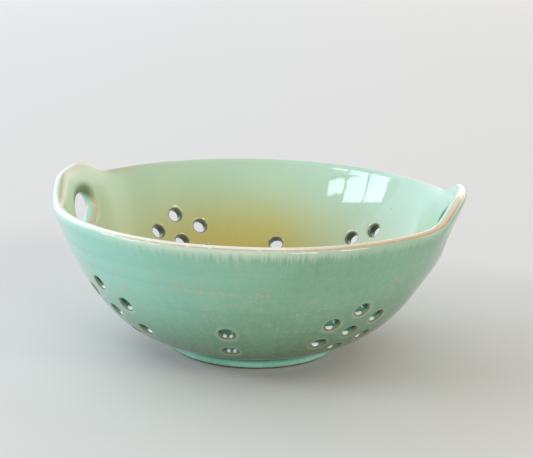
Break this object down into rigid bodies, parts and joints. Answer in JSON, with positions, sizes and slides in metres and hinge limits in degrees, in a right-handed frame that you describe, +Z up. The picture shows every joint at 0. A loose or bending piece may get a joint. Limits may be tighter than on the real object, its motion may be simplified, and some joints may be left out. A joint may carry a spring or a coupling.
{
  "type": "berry bowl",
  "caption": "Hand-thrown glazed stoneware berry bowl with flower-shaped groups of drain holes, slotted strap ears and a turned foot ring, for rinsing and serving fruit.",
  "frame": {"origin": "under the middle of the bowl's box, on the surface that it stands on; the middle of the foot ring is 1.9 mm from it towards the left ear, because the rim is out of round", "axes": "+Z up, +X through the middle of the right ear"},
  "size_m": [0.1642, 0.164, 0.0692],
  "materials": {
    "turquoise_glaze": "glossy turquoise-green glaze on stoneware, breaking to cream and tan on the lip, slots and hole edges",
    "foot_glaze": "glossy turquoise glaze on the side of the ring, bare red-brown clay on its tread"
  },
  "bodies": {
    "root": {"bowl_body": "turquoise_glaze", "left_ear": "turquoise_glaze", "right_ear": "turquoise_glaze", "foot_ring": "foot_glaze"}
  },
  "joints": []
}
